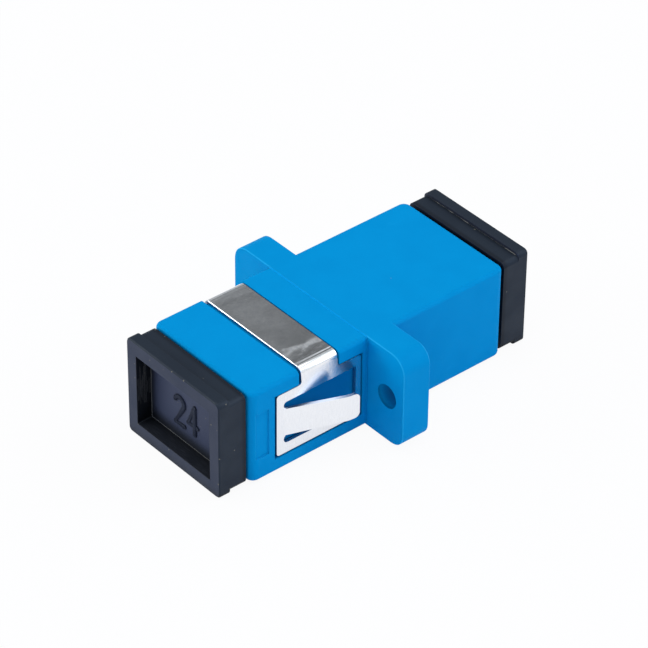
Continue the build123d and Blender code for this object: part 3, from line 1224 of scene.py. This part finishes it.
@dataclass
class MouldMarks:
    """Fine marks on a dust cap, measured from its recess's floor with +X towards the face."""

    recess_width: float = 9.7
    recess_height: float = 7.1
    recess_depth: float = 1.55
    lines: int = 11
    line_width: float = 0.015
    line_margin: float = 0.12
    line_shares: Span = (0.12, 0.65)
    line_shift: Point = (0.05, 0.0, 0.8)
    bead: float = 0.034
    flash: float = 0.05
    flash_length: float = 11.4
    flash_rise: float = 4.62
    flash_x: float = 0.45
    flash_steps: int = 140
    flash_grain: float = 1.6
    flash_swell: tuple[float, float, float, float] = (0.45, 0.7, 0.08, 1.0)
    seed: int = 7

    def mesh(self, material: Material) -> Mesh:
        """Draw lines down the side walls, a bead round the floor and flash where neck and lip meet.

        Args:
            material: Material of the marks.

        Returns:
            The marks' mesh, in millimetres.
        """
        sizes = {
            "Width": self.recess_width,
            "Height": self.recess_height,
            "Lines": self.lines,
            "Line Width": self.line_width,
            "Bead": self.bead,
            "Flash": self.flash,
            "Flash Length": self.flash_length,
            "Seed": self.seed,
        }
        shape = NodeShape("cap_mould_marks", sizes)
        given = shape.given
        row = self.one_row(shape)
        walls = [self.one_wall(shape, row, side) for side in (-1, 1)]
        frame = shape.tube(shape.rectangle(given["Height"], given["Width"]), shape.circle(6, given["Bead"]))
        bead = shape.place(frame, turn=(0.0, math.pi / 2, 0.0))
        flashes = [self.one_flash(shape, side) for side in (-1, 1)]
        return shape.mesh(shape.join(*walls, bead, *flashes), material)

    def one_row(self, shape: NodeShape) -> Socket:
        """A row of fine upright lines of uneven lengths.

        Args:
            shape: The tree they are made in.

        Returns:
            The lines' socket.
        """
        given = shape.given
        step = (self.recess_depth - 2 * self.line_margin) / (self.lines - 1)
        start = {"Start Location": (self.line_margin, 0, 0), "Offset": (step, 0, 0)}
        row = shape.out("GeometryNodeMeshLine", {"Count": given["Lines"], **start}, mode="OFFSET")
        size = shape.point(given["Line Width"], given["Line Width"], given["Height"])
        stroke = shape.out("GeometryNodeMeshCube", {"Size": size})
        least, most = self.line_shares
        lengths = shape.scatter((1, 1, least), (1, 1, most), given["Seed"])
        return shape.instances(row, stroke, Scale=lengths)

    def one_wall(self, shape: NodeShape, row: Socket, side: int) -> Socket:
        """The row of lines at one side wall, each of them nudged.

        Args:
            shape: The tree it is made in.
            row: The row in the middle of the recess.
            side: 1 for the wall at +Y, -1 for the other one.

        Returns:
            The wall's socket.
        """
        back = tuple(-shift for shift in self.line_shift)
        shifts = shape.scatter(back, self.line_shift, shape.math("ADD", shape.given["Seed"], side + 1))
        nudged = shape.out("GeometryNodeTranslateInstances", {"Instances": row, "Translation": shifts})
        return shape.place(nudged, shape.point(0.0, shape.times(shape.half(shape.given["Width"]), side)))

    def one_flash(self, shape: NodeShape, side: int) -> Socket:
        """Uneven flash across the cap, above or below it.

        Args:
            shape: The tree it is made in.
            side: 1 for the top, -1 for the underside.

        Returns:
            The flash's socket.
        """
        given = shape.given
        half, rise = shape.half(given["Flash Length"]), side * self.flash_rise
        start = shape.point(self.flash_x, shape.times(half, -1.0), rise)
        end = shape.point(self.flash_x, half, rise)
        line = shape.out("GeometryNodeCurvePrimitiveLine", {"Start": start, "End": end})
        fine = shape.out("GeometryNodeResampleCurve", {"Curve": line, "Count": self.flash_steps})
        grain = {"W": given["Seed"], "Scale": self.flash_grain, "Detail": 3.0}
        uneven = shape.out("ShaderNodeTexNoise", grain, noise_dimensions="4D")
        swell = shape.ramp(uneven, *self.flash_swell)
        sized = shape.out("GeometryNodeSetCurveRadius", {"Curve": fine, "Radius": swell})
        return shape.tube(sized, shape.circle(6, given["Flash"]), Scale=swell)


@dataclass
class CutDigits:
    """Digits as a round-nosed cutter draws them, one stroke after another."""

    width: float = 1.2
    height: float = 2.8
    pitch: float = 1.72
    stroke: float = 0.41
    relief: float = 0.2
    layer_step: float = 0.012
    turn_steps: int = 18
    nose_sides: int = 24
    nose_radius_share: float = 0.498
    nose_relief_share: float = 0.93

    def strokes(self, digit: str) -> list[list[Span]]:
        """The cutter's paths of a digit, in a box from -0.5 to 0.5 and from -1 to 1.

        Args:
            digit: "2" or "4".

        Returns:
            One list of points for each path.
        """
        if digit == "4":
            return [[(0.22, 1.0), (-0.5, -0.4), (0.5, -0.4)], [(0.22, 1.0), (0.22, -1.0)]]
        first, last = math.radians(165), math.radians(-35)
        angles = [first + (last - first) * step / self.turn_steps for step in range(self.turn_steps + 1)]
        bow = [(0.5 * math.cos(angle), 0.57 + 0.43 * math.sin(angle)) for angle in angles]
        return [[*bow, (-0.5, -1.0), (0.5, -1.0)]]

    def mesh(self, number: str, material: Material) -> Mesh:
        """Sweep a flat bar along each path and round its ends and corners.

        Args:
            number: The digits.
            material: Their material.

        Returns:
            The digits' mesh in the XY plane, in millimetres, centred on the origin.
        """
        path = bpy.data.curves.new("cutter_paths", "CURVE")
        path.dimensions = "3D"
        for index, digit in enumerate(number):
            shift = (index - (len(number) - 1) / 2) * self.pitch
            for layer, stroke in enumerate(self.strokes(digit)):
                spline = path.splines.new("POLY")
                spline.points.add(len(stroke) - 1)
                for point, (x, y) in zip(spline.points, stroke):
                    point.co = (x * self.width + shift, y * self.height / 2, layer * self.layer_step, 1)
        shape = NodeShape("cut_digits", {"Stroke": self.stroke, "Relief": self.relief}, path)
        given = shape.given
        bars = shape.tube(shape.level(given["Path"]), shape.rectangle(given["Stroke"], given["Relief"]))
        points = shape.out("GeometryNodeCurveToPoints", {"Curve": given["Path"]}, mode="EVALUATED")
        radius = shape.times(given["Stroke"], self.nose_radius_share)
        depth = shape.times(given["Relief"], self.nose_relief_share)
        sockets = {"Vertices": self.nose_sides, "Radius": radius, "Depth": depth}
        noses = shape.instances(points, shape.out("GeometryNodeMeshCylinder", sockets))
        return shape.mesh(shape.join(bars, noses), material)


@dataclass
class DustCap:
    """One black dust cap with the mould's number on its face."""

    end: End
    edge_rounding: float = 0.05
    cavity_number: str = "24"
    digits: CutDigits = field(default_factory=CutDigits)
    number_place: Span = (0.12, -0.57)
    marks: MouldMarks = field(default_factory=MouldMarks)

    @property
    def label(self) -> str:
        """Which cap it is, as its names say it."""
        return self.end.name.lower()

    @property
    def node(self) -> str:
        """Name of the CAD node."""
        return f"{self.label}_dust_cap"

    @property
    def body(self) -> Body:
        """The body that the cap is."""
        return Body.FRONT_CAP if self.end is End.FRONT else Body.REAR_CAP

    def floor_x(self) -> float:
        """X of the face recess's floor.

        Returns:
            The place in millimetres.
        """
        low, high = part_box(self.node)
        face = low.x if self.end is End.FRONT else high.x
        return face / MM - self.end.value * self.marks.recess_depth

    def number(self, material: Material) -> Object:
        """Raised plain digits on the recess's floor, upright when seen from the cap's face.

        Args:
            material: The digits' material.

        Returns:
            The digits as one mesh.
        """
        across = Vector((0, self.end.value, 0))
        out = Vector((self.end.value, 0, 0))
        turn = Matrix((across, Vector((0, 0, 1)), out)).transposed().to_4x4()
        aside, rise = self.number_place
        place = Matrix.Translation((self.floor_x(), -self.end.value * aside, rise))
        mesh = self.digits.mesh(self.cavity_number, material)
        return seat_mesh(f"{self.label}_cap_number", mesh, material, place @ turn)

    def mould_marks(self, material: Material) -> Object:
        """What the mould's parts leave on the cap: fine draw lines, a bead and uneven flash.

        Args:
            material: Material of the marks.

        Returns:
            The marks as one mesh.
        """
        turn = Matrix.Rotation(math.pi if self.end is End.FRONT else 0.0, 4, "Z")
        place = turn @ Matrix.Translation((abs(self.floor_x()), 0, 0))
        return seat_mesh(f"{self.label}_cap_mould_marks", self.marks.mesh(material), material, place)

    def build(self, frame: dict[str, Any], finishes: Finishes) -> list[Piece]:
        """Round the cap's edges and add its number and mould marks.

        Args:
            frame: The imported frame.
            finishes: The adapter's materials.

        Returns:
            The cap, its number and its mould marks.
        """
        rounding = (Rounding(self.edge_rounding),)
        plastic = finishes.of(BLACK_CAP)
        moulding = soften(frame["nodes"][self.node], f"{self.node}_moulding", rounding, plastic)
        return [
            Piece(moulding, self.body, Slot.CAP, (self.node,)),
            Piece(self.number(finishes.of(POLISHED_CAP)), self.body, Slot.CAP),
            # The mould marks are pale grey: painted glints on the cap's draw lines, bead and flash.
            Piece(self.mould_marks(finishes.of(WITNESS_LINE)), self.body, Slot.CAP),
        ]


@dataclass(frozen=True)
class Lamp:
    """One soft square lamp that looks at the adapter.

    Its azimuth and elevation are in degrees, from +X and from the floor. Its strength says how much of
    a facing surface's colour it lights.
    """

    name: str
    azimuth: float
    elevation: float
    strength: float
    colour: Colour
    size_m: float = 0.40
    distance_m: float = 0.55

    def hang(self) -> None:
        """Create the lamp at its place."""
        turn, rise = math.radians(self.azimuth), math.radians(self.elevation)
        way = Vector((math.cos(turn) * math.cos(rise), math.sin(turn) * math.cos(rise), math.sin(rise)))
        light = bpy.data.lights.new(self.name, "AREA")
        light.size = self.size_m
        light.energy = self.strength * (math.pi * self.distance_m) ** 2
        light.color = self.colour
        made = bpy.data.objects.new(self.name, light)
        made.location = way * self.distance_m
        made.rotation_euler = way.to_track_quat("Z", "Y").to_euler()
        bpy.context.scene.collection.objects.link(made)


@dataclass
class Studio:
    """Floor, lamps and the white surroundings."""

    floor_half_m: float = 1.5
    floor_colour: Colour = (0.91, 0.92, 0.94)
    floor_shadow: float = 0.06
    mirrored_shadow: float = 0.3
    floor_glow: float = 1.0
    sky_light: Colour = (0.40, 0.425, 0.52)
    dark_room: Colour = (0.21, 0.225, 0.235)
    horizon: Span = (-0.02, 0.06)
    window_light: Colour = (0.90, 0.92, 0.95)
    window_side: Span = (-0.45, -0.15)
    room_tint: Colour = (1.0, 1.05, 1.09)
    room_bands: tuple[Span, ...] = (
        (0.17, 0.90),
        (0.26, 0.18),
        (0.33, 0.18),
        (0.38, 0.80),
        (0.46, 0.80),
        (0.52, 0.14),
        (0.57, 0.12),
        (0.605, 0.128),
        (0.63, 0.15),
        (0.67, 0.46),
    )
    lamps: tuple[Lamp, ...] = (
        Lamp("left_softbox", 140.5, 10.0, 0.61, (1.0, 0.99, 0.90)),
        Lamp("top_softbox", 140.5, 88.0, 0.31, (1.0, 0.99, 0.95)),
        Lamp("right_softbox", -39.5, 35.0, 0.35, (0.82, 0.87, 1.0)),
        Lamp("front_softbox", 200.0, 20.0, 0.13, (0.40, 0.62, 1.0)),
    )

    def floor_material(self) -> Material:
        """White to the camera and pale in gloss, each with a faint shadow.

        Returns:
            The floor's material.
        """
        material = bpy.data.materials.new("pale_floor")
        material.use_nodes = True
        graph = Graph(material.node_tree)
        graph.tree.nodes.remove(graph.tree.nodes["Principled BSDF"])
        matt = graph.out("ShaderNodeBsdfDiffuse", {"Color": (*self.floor_colour, 1)})
        glow = graph.out("ShaderNodeEmission", {"Color": (1, 1, 1, 1), "Strength": self.floor_glow})
        path = graph.node("ShaderNodeLightPath").outputs
        seen = graph.math("MAXIMUM", path["Is Camera Ray"], path["Is Transmission Ray"])
        direct = graph.times(seen, 1 - self.floor_shadow)
        mirrored = graph.times(path["Is Glossy Ray"], 1 - self.mirrored_shadow)
        share = graph.math("MAXIMUM", direct, mirrored)
        mixed = graph.out("ShaderNodeMixShader", {0: share, 1: matt, 2: glow})
        graph.fill(graph.tree.nodes["Material Output"], {"Surface": mixed})
        return material

    def floor(self, height_m: float) -> None:
        """Lay the floor.

        Args:
            height_m: Its height in metres.
        """
        shape = bmesh.new()
        bmesh.ops.create_grid(shape, x_segments=1, y_segments=1, size=self.floor_half_m)
        bmesh.ops.translate(shape, verts=shape.verts, vec=(0, 0, height_m))
        mesh = bpy.data.meshes.new("floor")
        shape.to_mesh(mesh)
        shape.free()
        material = self.floor_material()
        link_mesh("floor", mesh, material)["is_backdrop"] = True

    def sky(self) -> None:
        """White surroundings, with a window, lit panels and a dark far wall for what is seen in gloss."""
        world = bpy.data.worlds.new("studio")
        bpy.context.scene.world = world
        world.use_nodes = True
        graph = Graph(world.node_tree)
        path = graph.node("ShaderNodeLightPath").outputs
        way = graph.axes(graph.node("ShaderNodeTexCoord").outputs["Generated"])
        high = graph.ramp(way["Z"], *self.horizon)
        room = graph.blend(high, self.dark_room, self.banded(graph, way["Y"]))
        window = graph.times(high, graph.ramp(way["X"], *self.window_side, 1.0, 0.0))
        gloss = graph.blend(window, room, self.window_light)
        plain = graph.blend(path["Is Glossy Ray"], self.sky_light, gloss)
        seen = graph.blend(path["Is Camera Ray"], plain, (1.0, 1.0, 1.0))
        graph.fill(graph.tree.nodes["Background"], {"Color": seen})

    def banded(self, graph: Graph, sideways: Socket) -> Socket:
        """Brightness of the room that gloss mirrors: bright panels with dark gaps from side to side.

        Args:
            graph: The world's graph.
            sideways: The direction's Y.

        Returns:
            The colour's socket.
        """
        made = graph.node("ShaderNodeValToRGB", {"Fac": sideways})
        stops = made.color_ramp.elements
        while len(stops) < len(self.room_bands):
            stops.new(1.0)
        for stop, (place, brightness) in zip(stops, self.room_bands):
            stop.position = place
            stop.color = (*(brightness * tint for tint in self.room_tint), 1.0)
        return made.outputs["Color"]

    def build(self, floor_height_m: float) -> None:
        """Set up the whole studio.

        Args:
            floor_height_m: Height of the floor in metres.
        """
        self.floor(floor_height_m)
        self.sky()
        for lamp in self.lamps:
            lamp.hang()


@dataclass
class PhotoCamera:
    """The photograph's camera, fitted to the adapter's edges."""

    azimuth: float = -40.49
    elevation: float = 36.96
    roll: float = 0.54
    place: Point = (-159.22, -185.66, 185.58)
    lens: float = 200.43
    sensor_width: float = 36.0
    clip_m: Span = (0.01, 20.0)

    def build(self) -> None:
        """Create the camera and make it the scene's."""
        a, e, r = (math.radians(angle) for angle in (self.azimuth, self.elevation, self.roll))
        back = Vector((math.sin(a) * math.cos(e), -math.cos(a) * math.cos(e), math.sin(e)))
        right = Vector((math.cos(a), math.sin(a), 0))
        up = back.cross(right)
        across = right * math.cos(r) + up * math.sin(r)
        upward = up * math.cos(r) - right * math.sin(r)
        data = bpy.data.cameras.new("photo_camera")
        data.lens = self.lens
        data.sensor_width = self.sensor_width
        data.clip_start, data.clip_end = self.clip_m
        made = bpy.data.objects.new("photo_camera", data)
        bpy.context.scene.collection.objects.link(made)
        turn = Matrix((across, upward, back)).transposed().to_4x4()
        made.matrix_world = Matrix.Translation(Vector(self.place) * MM) @ turn
        bpy.context.scene.camera = made


def main() -> None:
    """Build the adapter's looks and the studio round them."""
    logging.basicConfig(level=logging.INFO, format="%(name)s: %(message)s")
    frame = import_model()
    cad_box = [list(corner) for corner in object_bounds()]
    bpy.context.scene.view_settings.view_transform = "Standard"
    PhotoCamera().build()
    finishes = Finishes()
    parts = (HousingShells(), FerruleLine(), PanelClip(), DustCap(End.FRONT), DustCap(End.REAR))
    for part in parts:
        for piece in part.build(frame, finishes):
            piece.settle()
    Studio().build(cad_box[0][2] - FLOOR_GAP_MM * MM)


if __name__ == "__main__":
    main()
